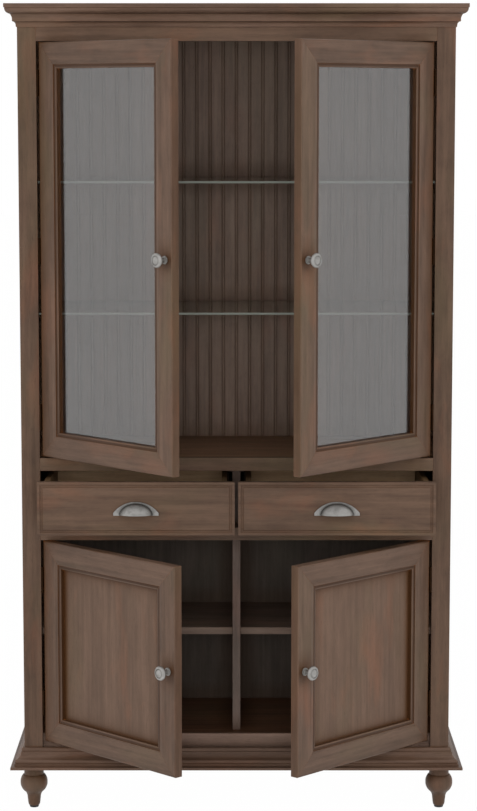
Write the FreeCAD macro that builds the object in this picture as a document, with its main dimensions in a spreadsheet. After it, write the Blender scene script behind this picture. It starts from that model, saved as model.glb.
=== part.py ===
import FreeCAD, Part
import math
import os
import Sketcher

# A tall display dresser: glazed hutch above, two drawers, panelled cupboard below.
# Millimetres. +X is to the right of someone facing it, +Y to its back, +Z up from the floor.
# The origin is on the floor, midway between the back edge and the farthest point of the
# open doors' knobs, on the centre line.

doc = FreeCAD.newDocument("DresserWithHutch")
sheet = doc.addObject("Spreadsheet::Sheet", "Sizes")

drivingSizes = {
    # carcase and face frame
    "caseWide": 980, "caseDeep": 383, "caseTop": 1845,
    "postWide": 42, "postDeep": 22, "sideThick": 18, "boardThick": 18, "backThick": 8,
    "backInset": 2, "rabbetWide": 9, "dadoDeep": 6, "railTall": 29.3, "topRailTall": 82.7,
    "tenonThick": 8, "tenonLong": 20, "tenonShoulder": 5, "woodClearance": 0.15,
    # heights, each from the piece below it
    "footTall": 99.5, "plinthTall": 48, "floorAboveLedge": 6, "cupboardTall": 460.5,
    "drawerOpening": 131.2,
    # inner boards
    "dividerThick": 18, "dividerFront": 62, "shelfThick": 16, "shelfAbove": 240, "shelfSetBack": 17,
    "glassShelfThick": 5, "glassShelfFront": 27, "glassShelfBack": 4, "baseRailTall": 21.5, "edgingFront": 28, "edgingThick": 8,
    "lowGlassAbove": 330.2, "glassSpacing": 298, "shelfPlay": 2,
    "pinRadius": 2.5, "pinHoleDeep": 9, "pinOut": 8, "pinFromEdge": 40,
    "beadPitch": 31.6, "beadRadius": 3.2, "quirkWide": 1.3, "quirkDeep": 2.4,
    # crown and base mouldings
    "crownOut": 27.5, "crownTall": 51.5, "plinthOut": 31,
    # turned feet
    "footInset": 19.5, "rearFootInset": 34, "bulbRadius": 31.5, "spigotRadius": 10,
    "spigotLong": 14, "glideTall": 5, "glideRadius": 10.5, "glideEdge": 1,
    # doors
    "doorGap": 3, "doorHeadGap": 2, "hingeGap": 2.6, "doorSetBack": 5, "doorThick": 21, "doorMember": 59,
    "doorFlat": 42, "doorEase": 3.5, "doorSlopeWide": 8, "doorSlopeDeep": 1.2, "doorStripDepth": 3.2,
    "upperDoorFootGap": 3.7, "lowerDoorFootGap": 13,
    "upperRest": 46.57, "lowerRest": 45.89,
    "glassDepth": 13, "glassThick": 4, "rebateWide": 8, "glassPlay": 1,
    "panelDepth": 13, "panelThick": 5, "grooveDeep": 9, "panelPlay": 1,
    # hinges, knobs and pulls
    "barrelRadius": 2.4, "barrelClear": 0.4, "leafThick": 1.1, "leafDeep": 18, "hingeTall": 60, "knuckleGap": 0.3,
    "hingePin": 1.2, "hingePlay": 0.06, "leafClear": 0.5, "hingeFromEnd": 90,
    "knobRadius": 15.8, "knobReach": 31.5, "knobRound": 4.5, "knobRimDepth": 23.5,
    "pullHalf": 50.5, "pullTall": 31, "pullReach": 20, "pullRim": 2.4, "pullWall": 2,
    "pullRimWide": 13, "pullRimTall": 3.5, "pullFootTall": 6, "pullLipLift": 1.5, "pullAbove": 45.2,
    # drawers and their slides
    "frontThick": 18, "frontEdgeGap": 4, "frontFootGap": 6.6, "frontHeadGap": 4.6,
    "drawerRest": 141, "slideGap": 12.7, "drawerSideThick": 12, "drawerSideLift": 12.6,
    "drawerSideDrop": 12.4, "drawerBackClear": 9, "drawerBottomThick": 6, "drawerBottomLift": 10,
    "frontDado": 6, "borderIn": 5.5, "borderWide": 7, "borderDeep": 2.5,
    "slideLift": 35, "channelTall": 36, "channelReach": 9.7, "sheetThick": 1.2,
    "runnerReach": 10.4, "runnerPlay": 0.3, "channelSetBack": 2, "runnerSetBack": 2,
    "battenTall": 50,
}
for row, alias in enumerate(drivingSizes, start=1):
    sheet.set("A%d" % row, alias)
    sheet.set("B%d" % row, str(drivingSizes[alias]))
    sheet.setAlias("B%d" % row, alias)
doc.recompute()


class Amount:
    # A number together with the sheet formula that gives it.
    def __init__(self, value, text):
        self.value = value
        self.text = text

    def __add__(self, other):
        other = amount(other)
        return Amount(self.value + other.value, "(%s + %s)" % (self.text, other.text))

    def __radd__(self, other):
        return amount(other) + self

    def __sub__(self, other):
        other = amount(other)
        return Amount(self.value - other.value, "(%s - %s)" % (self.text, other.text))

    def __rsub__(self, other):
        return amount(other) - self

    def __mul__(self, other):
        other = amount(other)
        return Amount(self.value * other.value, "(%s * %s)" % (self.text, other.text))

    def __rmul__(self, other):
        return amount(other) * self

    def __truediv__(self, other):
        other = amount(other)
        return Amount(self.value / other.value, "(%s / %s)" % (self.text, other.text))

    def __neg__(self):
        return amount(0) - self


def amount(number):
    if isinstance(number, Amount):
        return number
    return Amount(float(number), repr(float(number)))


def cosine(angle):
    angle = amount(angle)
    return Amount(math.cos(math.radians(angle.value)), "cos(%s)" % angle.text)


def sine(angle):
    angle = amount(angle)
    return Amount(math.sin(math.radians(angle.value)), "sin(%s)" % angle.text)


class Sizes:
    # Every cell of the sheet, by its alias.
    def __getattr__(self, alias):
        return Amount(float(sheet.get(alias)), "Sizes." + alias)


z = Sizes()

# ---------------------------------------------------------------- worked-out places
halfCase = z.caseWide / 2
halfOpening = halfCase - z.postWide
sideInner = halfCase - z.sideThick
backFront = z.caseDeep - z.backInset - z.backThick

platformTop = z.footTall + z.boardThick
ledgeTop = z.footTall + z.plinthTall
floorLow = ledgeTop + z.floorAboveLedge
floorTop = floorLow + z.boardThick
floorFront = z.edgingFront + z.edgingThick
drawerRailLow = floorTop + z.cupboardTall
drawerRailHigh = drawerRailLow + z.railTall
hutchRailLow = drawerRailHigh + z.drawerOpening
hutchRailHigh = hutchRailLow + z.railTall
hutchFloorLow = hutchRailHigh - z.boardThick
topRailLow = z.caseTop - z.topRailTall
topPanelLow = z.caseTop - z.boardThick
shelfTop = floorTop + z.shelfAbove
lowGlassTop = hutchRailHigh + z.lowGlassAbove
highGlassTop = lowGlassTop + z.glassSpacing

doorWide = (2 * halfOpening - z.doorGap - 2 * z.hingeGap) / 2

# The hinge pins stand in the corner between post and door face, clear of both.
pinOff = z.barrelRadius + z.barrelClear
hingeX = halfOpening - pinOff
hingeY = z.doorSetBack - pinOff
pinToEdge = z.hingeGap - pinOff
knobIn = z.doorFlat / 2

frontWide = halfOpening - 2 * z.frontEdgeGap
frontMiddle = halfOpening / 2
frontLow = drawerRailHigh + z.frontFootGap
frontTall = z.drawerOpening - z.frontFootGap - z.frontHeadGap
boxHalf = (halfOpening - z.dividerThick / 2) / 2 - z.slideGap
bayMiddle = (halfOpening + z.dividerThick / 2) / 2
boxLow = frontLow + z.drawerSideLift
drawerSideTall = frontTall - z.drawerSideLift - z.drawerSideDrop
drawerLong = backFront - z.frontThick - z.drawerBackClear
slideMiddle = boxLow + z.slideLift
channelFront = z.dividerFront + z.channelSetBack
channelLong = backFront - channelFront - z.drawerBackClear
runnerLong = drawerLong - 2 * z.runnerSetBack

# The face frame's front plane, so that the resting box is centred on the origin front to back.
# The upper doors' knob rims reach farthest forward.
knobAlong = pinToEdge + doorWide - knobIn + z.knobRadius - z.knobRound
knobForward = (knobAlong * sine(z.upperRest) - hingeY + z.knobRound
               + (z.knobRimDepth - pinOff) * cosine(z.upperRest))
frontPlane = (knobForward - z.caseDeep) / 2

sideNames = {-1: "left", 1: "right"}
nodes = []


# ---------------------------------------------------------------- drawing and placing
def newBody(label, isNode=True):
    body = doc.addObject("PartDesign::Body", label)
    body.Label = label
    body.AllowCompound = True
    if isNode:
        nodes.append(body)
    return body


def bind(thing, path, size, unit=""):
    thing.setExpression(path, amount(size).text + unit)


def place(thing, x, y, up, turn=0):
    thing.Placement = FreeCAD.Placement(FreeCAD.Vector(0, 0, 0), FreeCAD.Rotation(FreeCAD.Vector(0, 0, 1), 0))
    bind(thing, "Placement.Base.x", x)
    bind(thing, "Placement.Base.y", frontPlane + y)
    bind(thing, "Placement.Base.z", up)
    if isinstance(turn, Amount):
        bind(thing, "Placement.Rotation.Angle", turn, " * 1 deg")


def newSketch(body, plane, start):
    sketch = body.newObject("Sketcher::SketchObject", body.Name + "Sketch")
    origin = [piece for piece in body.Origin.OriginFeatures if piece.Role == plane + "_Plane"][0]
    sketch.AttachmentSupport = [(origin, "")]
    sketch.MapMode = "FlatFace"
    bind(sketch, "AttachmentOffset.Base.z", start)
    return sketch


def addPoint(sketch, piece, end, corner):
    for kind, coordinate in (("DistanceX", amount(corner[0])), ("DistanceY", amount(corner[1]))):
        index = sketch.addConstraint(Sketcher.Constraint(kind, piece, end, coordinate.value))
        bind(sketch, "Constraints[%d]" % index, coordinate)


def drawOutline(sketch, corners):
    # Closed outline. A corner's third value is the radius of the arc that reaches it: positive
    # bulges out of the outline, negative hollows into it.
    flat = [(amount(corner[0]).value, amount(corner[1]).value) for corner in corners]
    count = len(flat)
    area = sum(flat[i - 1][0] * flat[i][1] - flat[i][0] * flat[i - 1][1] for i in range(count))
    first = sketch.GeometryCount
    ends = []
    for i in range(count):
        begin = FreeCAD.Vector(flat[i][0], flat[i][1], 0)
        target = corners[(i + 1) % count]
        finish = FreeCAD.Vector(flat[(i + 1) % count][0], flat[(i + 1) % count][1], 0)
        if len(target) == 2:
            sketch.addGeometry(Part.LineSegment(begin, finish))
            ends.append((1, 2))
            continue
        radius = amount(target[2]).value
        chord = finish - begin
        bulgeRight = (radius > 0) == (area > 0)
        inward = FreeCAD.Vector(-chord.y, chord.x, 0) if bulgeRight else FreeCAD.Vector(chord.y, -chord.x, 0)
        inward.normalize()
        rise = math.sqrt(max(radius ** 2 - chord.Length ** 2 / 4, 0))
        centre = begin + chord / 2 + inward * rise
        angles = [math.atan2(point.y - centre.y, point.x - centre.x) for point in (begin, finish)]
        if not bulgeRight:
            angles.reverse()
        if angles[1] < angles[0]:
            angles[1] += 2 * math.pi
        circle = Part.Circle(centre, FreeCAD.Vector(0, 0, 1), abs(radius))
        sketch.addGeometry(Part.ArcOfCircle(circle, angles[0], angles[1]))
        ends.append((1, 2) if bulgeRight else (2, 1))
    for i in range(count):
        after = (i + 1) % count
        sketch.addConstraint(Sketcher.Constraint("Coincident", first + i, ends[i][1], first + after, ends[after][0]))
    for i in range(count):
        addPoint(sketch, first + i, ends[i][0], corners[i])
        target = corners[(i + 1) % count]
        if len(target) > 2:
            radius = target[2] if amount(target[2]).value > 0 else -1 * amount(target[2])
            index = sketch.addConstraint(Sketcher.Constraint("Radius", first + i, amount(radius).value))
            bind(sketch, "Constraints[%d]" % index, radius)


def drawCircle(sketch, radius):
    circle = Part.Circle(FreeCAD.Vector(0, 0, 0), FreeCAD.Vector(0, 0, 1), amount(radius).value)
    piece = sketch.addGeometry(circle)
    sketch.addConstraint(Sketcher.Constraint("Coincident", piece, 3, -1, 1))
    index = sketch.addConstraint(Sketcher.Constraint("Radius", piece, amount(radius).value))
    bind(sketch, "Constraints[%d]" % index, radius)


def rectangle(x0, y0, x1, y1):
    return [(x0, y0), (x1, y0), (x1, y1), (x0, y1)]


def draw(sketch, outlines):
    for outline in outlines:
        if isinstance(outline, list):
            drawOutline(sketch, outline)
        else:
            drawCircle(sketch, outline)


def pad(body, plane, outlines, start, length):
    # Solid from start to start + length along the plane's normal: +Z for XY, +X for YZ, -Y for XZ.
    sketch = newSketch(body, plane, start)
    draw(sketch, outlines)
    feature = body.newObject("PartDesign::Pad", body.Name + "Pad")
    feature.Profile = sketch
    bind(feature, "Length", length)
    return feature


def cut(body, plane, outlines, start, length):
    # Removes from start to start + length along the plane's normal.
    sketch = newSketch(body, plane, start)
    draw(sketch, outlines)
    feature = body.newObject("PartDesign::Pocket", body.Name + "Pocket")
    feature.Profile = sketch
    feature.Reversed = True
    bind(feature, "Length", length)
    return feature


def turn(body, plane, outline):
    sketch = newSketch(body, plane, 0)
    drawOutline(sketch, outline)
    feature = body.newObject("PartDesign::Revolution", body.Name + "Turning")
    feature.Profile = sketch
    feature.ReferenceAxis = (sketch, ["V_Axis"])
    feature.Angle = 360
    return feature


def repeat(body, features, axis, spacing, count):
    pattern = body.newObject("PartDesign::LinearPattern", body.Name + "Row")
    pattern.Originals = features
    pattern.Direction = (features[0].Profile[0], [axis])
    pattern.Mode = "Spacing"
    bind(pattern, "Offset", spacing)
    pattern.Occurrences = count
    body.Tip = pattern
    return pattern


def board(label, left, front, low, wide, deep, tall):
    body = newBody(label)
    pad(body, "XY", [rectangle(0, 0, wide, deep)], 0, tall)
    place(body, left, front, low)
    return body


def plainBoard(label, wide, deep, tall):
    # A board in its own frame, for a group.
    body = newBody(label, False)
    pad(body, "XY", [rectangle(0, 0, wide, deep)], 0, tall)
    return body


def group(label, piece, spots):
    # One node of identical separate solids. A spot is x, y, z in the group's frame, and whether the
    # piece is turned half round, about the vertical (Z) or about the depth (Y).
    links = []
    for number, (x, y, up, flip) in enumerate(spots, start=1):
        link = doc.addObject("App::Link", "%sCopy%d" % (label, number))
        link.LinkedObject = piece
        axis = FreeCAD.Vector(0, 1, 0) if flip == "Y" else FreeCAD.Vector(0, 0, 1)
        link.Placement = FreeCAD.Placement(FreeCAD.Vector(0, 0, 0), FreeCAD.Rotation(axis, 180 if flip else 0))
        for letter, size in (("x", x), ("y", y), ("z", up)):
            bind(link, "Placement.Base." + letter, size)
        links.append(link)
    compound = doc.addObject("Part::Compound", label)
    compound.Label = label
    compound.Links = links
    nodes.append(compound)
    return compound


# ---------------------------------------------------------------- face frame and carcase
railLevels = [(platformTop, z.baseRailTall), (drawerRailLow, z.railTall),
              (hutchRailLow, z.railTall), (topRailLow, z.caseTop - topRailLow)]


def frontPost(side):
    # The stile runs in one piece from crown to base, with a mortise for each rail.
    left = side * (halfCase - z.postWide / 2) - z.postWide / 2
    post = board(sideNames[side] + "_front_post", left, 0, platformTop,
                 z.postWide, z.postDeep, z.caseTop - platformTop)
    deep = z.tenonLong + 1
    start = z.postWide - deep if side < 0 else amount(-1)
    middle = z.postDeep / 2
    half = z.tenonThick / 2 + z.woodClearance
    for low, tall in railLevels:
        bottom = low - platformTop + z.tenonShoulder - z.woodClearance
        top = low - platformTop + tall - z.tenonShoulder + z.woodClearance
        cut(post, "YZ", [rectangle(middle - half, bottom, middle + half, top)], start, deep + 1)


def rail(label, low, tall, deep):
    body = board(label, -halfOpening, 0, low, 2 * halfOpening, deep, tall)
    middle = z.postDeep / 2
    half = z.tenonThick / 2
    tenon = rectangle(middle - half, z.tenonShoulder, middle + half, tall - z.tenonShoulder)
    pad(body, "YZ", [tenon], -z.tenonLong, 2 * halfOpening + 2 * z.tenonLong)
    return body


def sidePanel(side):
    # Dadoes for the floor and hutch floor, a rabbet for the top and one for the backs.
    deep = z.caseDeep - z.postDeep
    tall = z.caseTop - platformTop
    left = side * (halfCase - z.sideThick / 2) - z.sideThick / 2
    panel = board(sideNames[side] + "_side_panel", left, z.postDeep, platformTop, z.sideThick, deep, tall)

    def fromInside(depth):
        return z.sideThick - depth if side < 0 else amount(depth)

    def slot(start):
        return rectangle(fromInside(z.dadoDeep + z.woodClearance), start, fromInside(-1), deep + 1)

    floorSlot = slot(floorFront - z.postDeep - z.woodClearance)
    for low, outline in ((floorLow, floorSlot), (hutchFloorLow, slot(-1))):
        cut(panel, "XY", [outline], low - platformTop - z.woodClearance, z.boardThick + 2 * z.woodClearance)
    cut(panel, "XY", [slot(-1)], topPanelLow - platformTop - z.woodClearance, z.boardThick + 1)
    backStart = backFront - z.postDeep
    rabbet = rectangle(fromInside(z.rabbetWide), backStart, fromInside(-1), deep + 1)
    cut(panel, "XY", [rabbet], -1, tall + 2)
    holes = [shelf - thick - z.pinRadius for shelf, thick in shelfLevels]
    bore = z.pinHoleDeep + z.woodClearance
    start = z.sideThick - bore if side < 0 else amount(-1)
    for along in pinRows:
        for level in holes:
            holeSketch = newSketch(panel, "YZ", start)
            drawHole(holeSketch, along - z.postDeep, level - platformTop, z.pinRadius + z.woodClearance)
            feature = panel.newObject("PartDesign::Pocket", panel.Name + "PinHole")
            feature.Profile = holeSketch
            feature.Reversed = True
            bind(feature, "Length", bore + 1)


def drawHole(sketch, x, y, radius):
    centre = FreeCAD.Vector(amount(x).value, amount(y).value, 0)
    piece = sketch.addGeometry(Part.Circle(centre, FreeCAD.Vector(0, 0, 1), amount(radius).value))
    addPoint(sketch, piece, 3, (x, y))
    index = sketch.addConstraint(Sketcher.Constraint("Radius", piece, amount(radius).value))
    bind(sketch, "Constraints[%d]" % index, radius)


shelfLevels = [(shelfTop, z.shelfThick), (lowGlassTop, z.glassShelfThick),
               (highGlassTop, z.glassShelfThick)]
shelfFront = z.dividerFront + z.shelfSetBack
pinRows = [shelfFront + z.pinFromEdge, backFront - z.pinFromEdge]

for side in sideNames:
    frontPost(side)
    sidePanel(side)

rail("base_rail", platformTop, z.baseRailTall, z.edgingFront)
rail("drawer_rail", drawerRailLow, z.railTall, z.dividerFront)
rail("hutch_rail", hutchRailLow, z.railTall, z.postDeep)
rail("top_rail", topRailLow, z.caseTop - topRailLow, z.postDeep)


def crossBoard(label, front, low):
    # Runs from dado to dado, behind the face frame and in front of the backs.
    return board(label, -(sideInner + z.dadoDeep), front, low,
                 2 * (sideInner + z.dadoDeep), backFront - front, z.boardThick)


crossBoard("cabinet_floor", floorFront, floorLow)
crossBoard("hutch_floor", z.postDeep, hutchFloorLow)
crossBoard("top_panel", z.postDeep, topPanelLow)

# Behind the closed lower doors a solid edging covers the floor's front and stands on the platform.
board("floor_front_edging", -sideInner, z.edgingFront, platformTop,
      2 * sideInner, z.edgingThick, floorTop - platformTop)

platform = board("base_platform", -halfCase, 0, z.footTall, z.caseWide, z.caseDeep, z.boardThick)
dividerFrontEdge = z.dividerFront
board("center_divider", -z.dividerThick / 2, dividerFrontEdge, floorTop,
      z.dividerThick, backFront - dividerFrontEdge, hutchFloorLow - floorTop)

backHalf = sideInner + z.rabbetWide - z.woodClearance
board("lower_back", -backHalf, backFront, platformTop,
      2 * backHalf, z.backThick, hutchFloorLow - platformTop)


def beadboardBack():
    # Each bead lies between two narrow quirks, a little below the boards' face.
    body = board("beadboard_back", -backHalf, backFront, hutchFloorLow,
                 2 * backHalf, z.backThick, z.caseTop - hutchFloorLow)
    outer = z.beadRadius + z.quirkWide
    beadsEachSide = int((sideInner - outer).value / z.beadPitch.value)
    middle = backHalf - beadsEachSide * z.beadPitch
    outline = [(middle - outer, -1), (middle + outer, -1), (middle + outer, z.quirkDeep),
               (middle + z.beadRadius, z.quirkDeep),
               (middle - z.beadRadius, z.quirkDeep, -z.beadRadius * 1.15),
               (middle - outer, z.quirkDeep)]
    bead = cut(body, "XY", [outline], -1, z.caseTop - hutchFloorLow + 2)
    repeat(body, [bead], "H_Axis", z.beadPitch, 2 * beadsEachSide + 1)


beadboardBack()

lowerShelfWide = sideInner - z.shelfPlay / 2 - z.dividerThick / 2
lowerShelf = plainBoard("lowerShelf", lowerShelfWide, backFront - shelfFront, z.shelfThick)
place(group("lower_shelves", lowerShelf, [(-z.dividerThick / 2 - lowerShelfWide, 0, 0, None),
                                          (z.dividerThick / 2, 0, 0, None)]),
      0, shelfFront, shelfTop - z.shelfThick)

glassHalf = sideInner - z.shelfPlay
glassShelf = plainBoard("glassShelf", 2 * glassHalf, (backFront - z.glassShelfFront - z.glassShelfBack), z.glassShelfThick)
place(group("glass_shelves", glassShelf, [(-glassHalf, 0, lowGlassTop, None),
                                          (-glassHalf, 0, highGlassTop, None)]),
      0, z.glassShelfFront, -z.glassShelfThick)

# Shelf pins: plain steel pins in blind holes, each shelf lying on the pins' tops.
pin = newBody("shelfPin", False)
pad(pin, "YZ", [z.pinRadius], -z.pinHoleDeep, z.pinHoleDeep + z.pinOut)
pinSpots = []
for shelf, thick in shelfLevels:
    for along in pinRows:
        pinSpots.append((-sideInner, along, shelf - thick - z.pinRadius, None))
        pinSpots.append((sideInner, along, shelf - thick - z.pinRadius, "Y"))
place(group("shelf_pins", pin, pinSpots), 0, 0, 0)


# ---------------------------------------------------------------- mouldings
def crownProfile():
    # Distance out from the case, height above the moulding's foot.
    out, tall = z.crownOut / 27.5, z.crownTall / 51.5
    return [(amount(0), amount(0)), (2 * out, amount(0)), (2.5 * out, 4 * tall),
            (8 * out, 12 * tall, -8 * tall), (10 * out, 12.5 * tall), (10 * out, 14.5 * tall),
            (14.5 * out, 28.7 * tall, -18 * tall), (16.5 * out, 29.2 * tall),
            (25.5 * out, 42 * tall, 12 * tall), (z.crownOut, 43 * tall), (z.crownOut, z.crownTall),
            (amount(0), z.crownTall)]


def plinthProfile():
    out, tall = z.plinthOut / 31, z.plinthTall / 48
    return [(amount(0), amount(0)), (z.plinthOut, amount(0)), (z.plinthOut, 5 * tall),
            (29.5 * out, 6.5 * tall, 1.6 * tall), (22 * out, 6.9 * tall), (22 * out, 12.5 * tall),
            (20 * out, 13 * tall), (16.5 * out, 22.5 * tall, 7 * tall), (14 * out, 23.7 * tall),
            (8 * out, 36.3 * tall, -15 * tall), (8 * out, 38 * tall), (6 * out, 38.6 * tall),
            (6 * out, 43 * tall), (1.5 * out, z.plinthTall, 6 * tall), (amount(0), z.plinthTall)]


def moulding(prefix, profile, low, out, tall):
    # A front length and two returns, mitred at the front corners.
    def shaped(corners, side):
        return [tuple([side * corner[0], corner[1]] + list(corner[2:])) for corner in corners]

    span = z.caseWide + 2 * out
    front = newBody(prefix + "_front")
    pad(front, "YZ", [shaped(profile, -1)], 0, span)
    for corner, way in ((amount(0), 1), (span, -1)):
        mitre = [(corner + way * (out + 1), amount(1)), (corner - way, amount(1)),
                 (corner - way, -out - 1)]
        cut(front, "XY", [mitre], -1, tall + 2)
    place(front, -(halfCase + out), 0, low)
    pair = newBody(prefix + "_returns")
    for side in sideNames:
        section = [tuple([halfCase * side + corner[0]] + list(corner[1:])) for corner in shaped(profile, side)]
        pad(pair, "XZ", [section], -z.caseDeep, z.caseDeep + out)
        mitre = [(side * (halfCase - 1), amount(1)), (side * (halfCase - 1), -out - 1),
                 (side * (halfCase + out + 1), -out - 1)]
        cut(pair, "XY", [mitre], -1, tall + 2)
    place(pair, 0, 0, low)


moulding("crown", crownProfile(), z.caseTop - z.crownTall, z.crownOut, z.crownTall)
moulding("plinth", plinthProfile(), z.footTall, z.plinthOut, z.plinthTall)


# ---------------------------------------------------------------- turned feet
def footOutline():
    # Radius and height above the floor, from the glide up to the spigot: straight ankle, bulb,
    # plain neck, and a collar under the platform.
    wide, tall = z.bulbRadius / 31.5, z.footTall / 99.5
    return [(amount(0), z.glideTall), (11.5 * wide, z.glideTall), (12.8 * wide, 7 * tall, 2 * tall),
            (13.8 * wide, 10 * tall), (15.4 * wide, 24.5 * tall), (23.6 * wide, 40 * tall, -19.2 * tall),
            (z.bulbRadius, 60.5 * tall, 27 * tall), (27.5 * wide, 74.6 * tall, 26 * tall),
            (22.7 * wide, 79 * tall, 9 * tall), (22.7 * wide, 88 * tall),
            (26 * wide, 92.5 * tall, -6 * tall), (26 * wide, z.footTall), (z.spigotRadius, z.footTall),
            (z.spigotRadius, z.footTall + z.spigotLong), (amount(0), z.footTall + z.spigotLong)]


foot = newBody("turnedFoot", False)
turn(foot, "XZ", footOutline())
footSpots = []
for along in (z.footInset, z.caseDeep - z.rearFootInset):
    for side in sideNames:
        across = side * (halfCase - z.footInset)
        footSpots.append((across, along, 0, None))
        hole = newSketch(platform, "XY", -1)
        drawHole(hole, across + halfCase, along, z.spigotRadius + z.woodClearance)
        bore = platform.newObject("PartDesign::Pocket", "SpigotHole")
        bore.Profile = hole
        bore.Reversed = True
        bind(bore, "Length", z.spigotLong + 1.5)
place(group("turned_feet", foot, footSpots), 0, 0, 0)

glide = newBody("footGlide", False)
turn(glide, "XZ", [(0, 0), (z.glideRadius - z.glideEdge, 0), (z.glideRadius, z.glideEdge),
                   (z.glideRadius, z.glideTall), (0, z.glideTall)])
place(group("foot_glides", glide, footSpots), 0, 0, 0)


# ---------------------------------------------------------------- doors
def doorEdge(glazed):
    # Section across a frame member: distance in from the door's edge, depth behind its face.
    # The flat falls gently to a step, and a low bead runs along the inner edge.
    ease = z.doorEase
    wide = z.doorMember
    step = z.doorFlat + z.doorSlopeWide
    strip = z.doorStripDepth
    face = [(amount(0), z.doorThick), (amount(0), ease), (ease, amount(0), ease), (z.doorFlat, amount(0)),
            (step, z.doorSlopeDeep), (step, strip), (wide, strip + 0.6, 10)]
    if glazed:
        return face + [(wide, z.glassDepth), (wide - z.rebateWide, z.glassDepth),
                       (wide - z.rebateWide, z.doorThick)]
    grooveBack = z.panelDepth + z.panelThick + z.woodClearance
    return face + [(wide, z.panelDepth), (wide - z.grooveDeep, z.panelDepth),
                   (wide - z.grooveDeep, grooveBack), (wide, grooveBack), (wide, z.doorThick)]


def doorMembers(level, tall, glazed):
    # The left stile and the bottom rail of a door, both mitred, in the door's own frame:
    # middle of the front face, +Y into the door.
    section = doorEdge(glazed)
    halfWide = doorWide / 2
    halfTall = tall / 2
    member = z.doorMember
    stile = newBody(level + "DoorStile", False)
    pad(stile, "XY", [[tuple([corner[0] - halfWide] + list(corner[1:])) for corner in section]], -halfTall, tall)
    for way in (1, -1):
        mitre = [(-halfWide - 1, way * (halfTall + 1)), (member - halfWide + 1, way * (halfTall + 1)),
                 (member - halfWide + 1, way * (halfTall - member - 1))]
        cut(stile, "XZ", [mitre], -z.doorThick - 1, z.doorThick + 2)
    bar = newBody(level + "DoorRail", False)
    turned = [tuple([corner[1], corner[0] - halfTall] + list(corner[2:])) for corner in section]
    pad(bar, "YZ", [turned], -halfWide, doorWide)
    for way in (1, -1):
        mitre = [(way * (halfWide + 1), -halfTall - 1), (way * (halfWide + 1), member - halfTall + 1),
                 (way * (halfWide - member - 1), member - halfTall + 1)]
        cut(bar, "XZ", [mitre], -z.doorThick - 1, z.doorThick + 2)
    return stile, bar


def rideDoor(thing, side, rest, x, y, up):
    # Places a thing of the door's frame, with the door turned about its hinge to where it rests.
    turned = side * rest
    across = x - side * (doorWide / 2 + pinToEdge)
    behind = y + pinOff
    place(thing, side * hingeX + cosine(turned) * across - sine(turned) * behind,
          hingeY + sine(turned) * across + cosine(turned) * behind, up, turned)


def knob(label):
    # Turned knob: rose, neck, and a full round head with a ring cut round its low dome.
    body = newBody(label)
    head = z.knobRadius
    depth = z.knobRimDepth
    inner = head - z.knobRound
    face = depth + z.knobRound
    wide, deep = head / 15.8, depth / 23.5
    turn(body, "XY", [(0, 0), (9 * wide, 0), (9 * wide, -1.6 * deep), (7.6 * wide, -3 * deep, 1.6 * deep),
                      (6 * wide, -3.6 * deep), (5.2 * wide, -7 * deep, -6 * deep), (5.2 * wide, -13 * deep),
                      (9 * wide, -18 * deep, -6 * deep), (inner, z.knobRound - depth),
                      (head, -depth, z.knobRound), (inner, -face, z.knobRound),
                      (10.6 * wide, -face), (10 * wide, 1 * deep - face), (9.3 * wide, 0.4 * deep - face),
                      (0, -z.knobReach, 13 * wide)])
    return body


# Butt hinge: a leaf is a plate with its knuckles; the case's leaf also holds the pin.
def hingeLeaf(label, plate, knuckles, holdsPin):
    leaf = newBody(label, False)
    seat = z.barrelRadius + z.leafClear
    half = z.hingeTall / 2
    pitch = z.hingeTall / 5
    pad(leaf, "XY", [rectangle(plate, seat, plate + z.leafThick, z.leafDeep)], -half, z.hingeTall)
    for number in knuckles:
        low = number * pitch - half + z.knuckleGap / 2
        tall = pitch - z.knuckleGap
        pad(leaf, "XY", [rectangle(plate, z.barrelRadius / 2, plate + z.leafThick, seat + 0.5)], low, tall)
        pad(leaf, "XY", [z.barrelRadius], low, tall)
    if holdsPin:
        pad(leaf, "XY", [z.hingePin], -half, z.hingeTall)
    else:
        cut(leaf, "XY", [z.hingePin + z.hingePlay], -half - 1, z.hingeTall + 2)
    return leaf


caseLeaf = hingeLeaf("caseLeaf", -pinOff, (0, 2, 4), True)
doorLeaf = hingeLeaf("doorLeaf", pinToEdge - z.leafThick, (1, 3), False)
caseLeafSpots = []


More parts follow.
